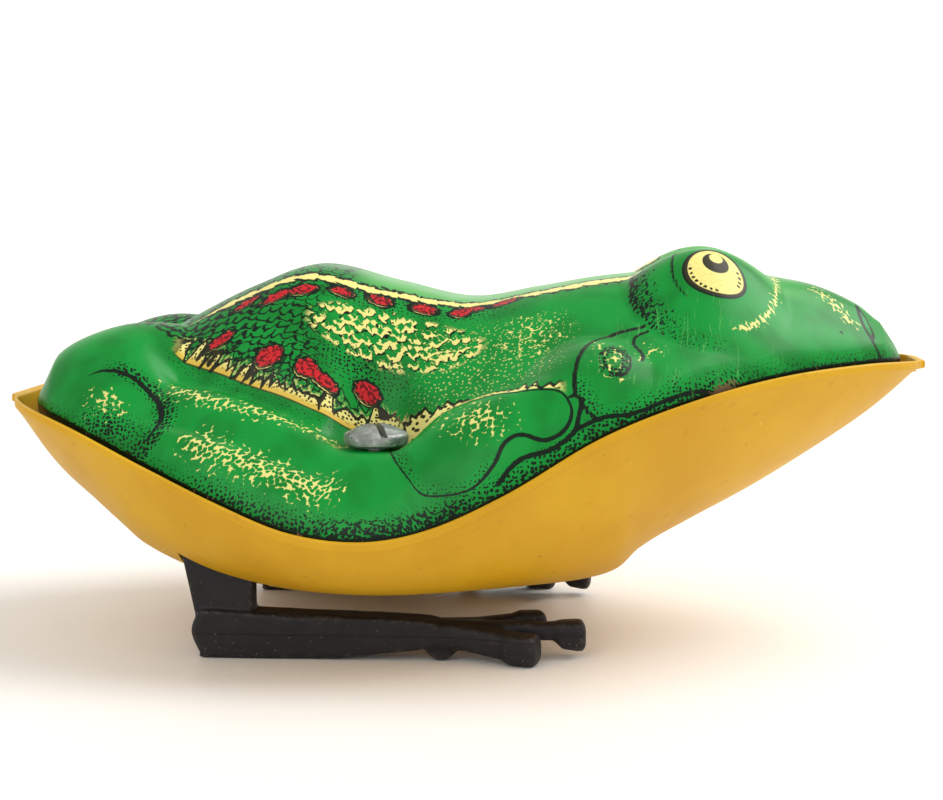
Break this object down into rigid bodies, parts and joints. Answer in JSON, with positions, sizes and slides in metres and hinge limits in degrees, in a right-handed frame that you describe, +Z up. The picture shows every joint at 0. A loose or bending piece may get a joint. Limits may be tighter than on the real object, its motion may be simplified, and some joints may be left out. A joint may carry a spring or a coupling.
{
  "type": "wind-up jumping frog toy",
  "caption": "Pressed tin frog back on a moulded belly, with flat clockwork, a slotted winding knob and a sprung pair of jumping legs.",
  "frame": {"origin": "on the ground plane, under the middle of the body's length and width, where the two feet stand", "axes": "+X along the body towards the nose, +Y to the frog's left, +Z up"},
  "size_m": [0.1066, 0.066, 0.0459],
  "materials": {
    "litho_tin": "gloss printed tinplate",
    "yellow_plastic": "satin moulded",
    "dark_plastic": "fine moulded",
    "cast_zinc": "dull grey casting",
    "tinplate": "tinned sheet",
    "bright_steel": "turned",
    "spring_steel": "blued",
    "brass": "stamped"
  },
  "bodies": {
    "body": {"top_shell": "litho_tin", "belly_shell": "yellow_plastic", "bottom_plate": "tinplate", "top_plate": "tinplate", "plate_pillars": "bright_steel", "motor_screws": "bright_steel", "axle_brackets": "tinplate", "spring_post": "bright_steel", "mainspring": "spring_steel"},
    "winder": {"winding_knob": "cast_zinc", "winding_arbor": "bright_steel", "ratchet_wheel": "spring_steel"},
    "great_wheel_set": {"great_wheel": "brass", "click_rivet": "bright_steel"},
    "click_lever": {"click": "spring_steel"},
    "second_set": {"second_arbor": "bright_steel", "second_pinion": "brass", "second_wheel": "brass"},
    "cam_set": {"cam_arbor": "bright_steel", "cam_pinion": "brass", "third_wheel": "brass", "kick_cam": "spring_steel"},
    "fly_set": {"fly_arbor": "bright_steel", "fly_pinion": "brass", "fly_disc": "brass"},
    "legs": {"right_leg": "dark_plastic", "left_leg": "dark_plastic", "leg_axle": "bright_steel", "axle_clips": "bright_steel", "cam_follower": "tinplate", "leg_spring": "spring_steel"}
  },
  "joints": [
    {"name": "great_wheel_spin", "type": "hinge", "parent": "body", "child": "great_wheel_set", "pos_m": [-0.009, -0.021, 0.0143], "axis": [0, 0, 1], "continuous": true},
    {"name": "winding_turn", "type": "hinge", "parent": "body", "child": "winder", "pos_m": [-0.009, -0.021, 0.0213], "axis": [0, 0, 1], "continuous": true},
    {"name": "click_lift", "type": "hinge", "parent": "great_wheel_set", "child": "click_lever", "pos_m": [-0.0046, -0.02495, 0.0153], "axis": [0, 0, -1], "range_deg": [0, 10], "stiffness_Nm_per_rad": 0.000005, "springref_deg": -17.19},
    {"name": "second_spin", "type": "hinge", "parent": "body", "child": "second_set", "pos_m": [-0.009, -0.0111, 0.0143], "axis": [0, 0, 1], "continuous": true},
    {"name": "cam_spin", "type": "hinge", "parent": "body", "child": "cam_set", "pos_m": [-0.01764, -0.00462, 0.0143], "axis": [0, 0, 1], "continuous": true},
    {"name": "fly_spin", "type": "hinge", "parent": "body", "child": "fly_set", "pos_m": [-0.01764, 0.00498, 0.0143], "axis": [0, 0, 1], "continuous": true},
    {"name": "leg_kick", "type": "hinge", "parent": "body", "child": "legs", "pos_m": [-0.0275, 0, 0.0147], "axis": [0, 1, 0], "range_deg": [-4, 0], "stiffness_Nm_per_rad": 0.05, "springref_deg": 57.3}
  ],
  "couplings": [
    {"joint": "second_spin", "follows": "great_wheel_spin", "ratio": -2.6667},
    {"joint": "cam_spin", "follows": "great_wheel_spin", "ratio": 8},
    {"joint": "fly_spin", "follows": "great_wheel_spin", "ratio": -24}
  ]
}
